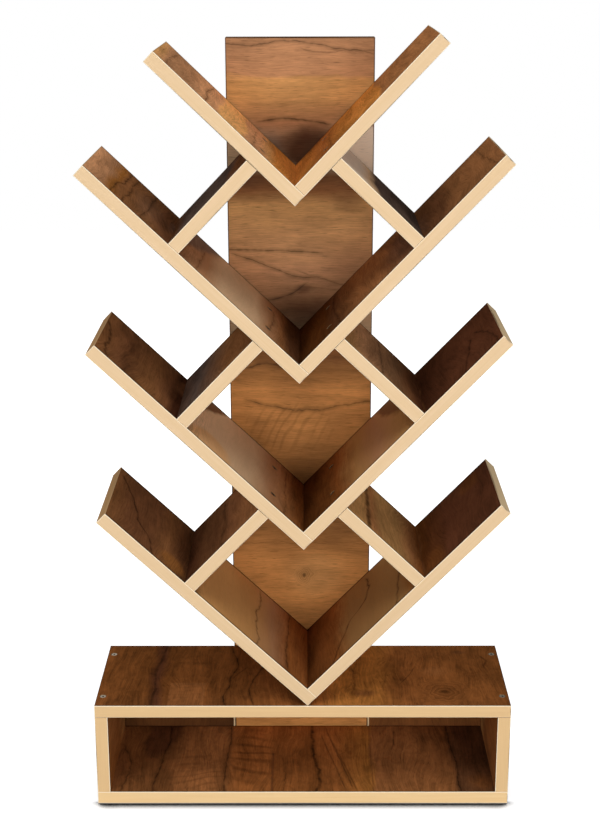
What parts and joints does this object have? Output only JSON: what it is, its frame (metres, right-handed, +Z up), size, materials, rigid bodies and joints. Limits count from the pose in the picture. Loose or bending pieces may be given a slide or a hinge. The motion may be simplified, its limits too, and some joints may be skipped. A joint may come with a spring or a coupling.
{
  "type": "tree shaped bookshelf",
  "caption": "Free-standing bookshelf: V shaped branch boards and short struts in tiers on an upright trunk board, over an open box base.",
  "frame": {"origin": "on the floor, in the middle of the base's width and of the overall depth", "axes": "+X to the right seen from the front, +Y from the front to the wall behind, +Z up the trunk"},
  "size_m": [0.517, 0.1914, 0.9462],
  "materials": {
    "dark_laminate": "satin walnut-print laminate on particle board, edges banded in light tan",
    "light_laminate": "the same walnut print in a lighter, warmer run on the trunk, grain across the board",
    "zinc_screw": "zinc-plated countersunk chipboard screw"
  },
  "bodies": {
    "root": {"trunk": "light_laminate", "base_top": "dark_laminate", "base_bottom": "dark_laminate", "base_left_side": "dark_laminate", "base_right_side": "dark_laminate", "base_left_back": "dark_laminate", "base_right_back": "dark_laminate", "tier_1_left_arm": "dark_laminate", "tier_1_left_strut": "dark_laminate", "tier_1_right_arm": "dark_laminate", "tier_1_right_strut": "dark_laminate", "tier_2_left_arm": "dark_laminate", "tier_2_left_strut": "dark_laminate", "tier_2_right_arm": "dark_laminate", "tier_2_right_strut": "dark_laminate", "tier_3_left_arm": "dark_laminate", "tier_3_left_strut": "dark_laminate", "tier_3_right_arm": "dark_laminate", "tier_3_right_strut": "dark_laminate", "tier_4_left_arm": "dark_laminate", "tier_4_right_arm": "dark_laminate", "base_top_left_front_screw": "zinc_screw", "base_top_left_rear_screw": "zinc_screw", "base_top_right_front_screw": "zinc_screw", "base_top_right_rear_screw": "zinc_screw", "base_bottom_left_front_screw": "zinc_screw", "base_bottom_left_rear_screw": "zinc_screw", "base_bottom_right_front_screw": "zinc_screw", "base_bottom_right_rear_screw": "zinc_screw", "trunk_base_left_screw": "zinc_screw", "trunk_base_right_screw": "zinc_screw", "tier_1_left_trunk_screw": "zinc_screw", "tier_1_left_strut_front_screw": "zinc_screw", "tier_1_left_strut_rear_screw": "zinc_screw", "tier_1_right_trunk_screw": "zinc_screw", "tier_1_right_strut_front_screw": "zinc_screw", "tier_1_right_strut_rear_screw": "zinc_screw", "tier_1_corner_front_screw": "zinc_screw", "tier_1_corner_rear_screw": "zinc_screw", "tier_2_left_trunk_screw": "zinc_screw", "tier_2_left_strut_front_screw": "zinc_screw", "tier_2_left_strut_rear_screw": "zinc_screw", "tier_2_right_trunk_screw": "zinc_screw", "tier_2_right_strut_front_screw": "zinc_screw", "tier_2_right_strut_rear_screw": "zinc_screw", "tier_2_corner_front_screw": "zinc_screw", "tier_2_corner_rear_screw": "zinc_screw", "tier_3_left_trunk_screw": "zinc_screw", "tier_3_left_strut_front_screw": "zinc_screw", "tier_3_left_strut_rear_screw": "zinc_screw", "tier_3_right_trunk_screw": "zinc_screw", "tier_3_right_strut_front_screw": "zinc_screw", "tier_3_right_strut_rear_screw": "zinc_screw", "tier_3_corner_front_screw": "zinc_screw", "tier_3_corner_rear_screw": "zinc_screw", "tier_4_left_trunk_screw": "zinc_screw", "tier_4_right_trunk_screw": "zinc_screw", "tier_4_corner_front_screw": "zinc_screw", "tier_4_corner_rear_screw": "zinc_screw"}
  },
  "joints": []
}
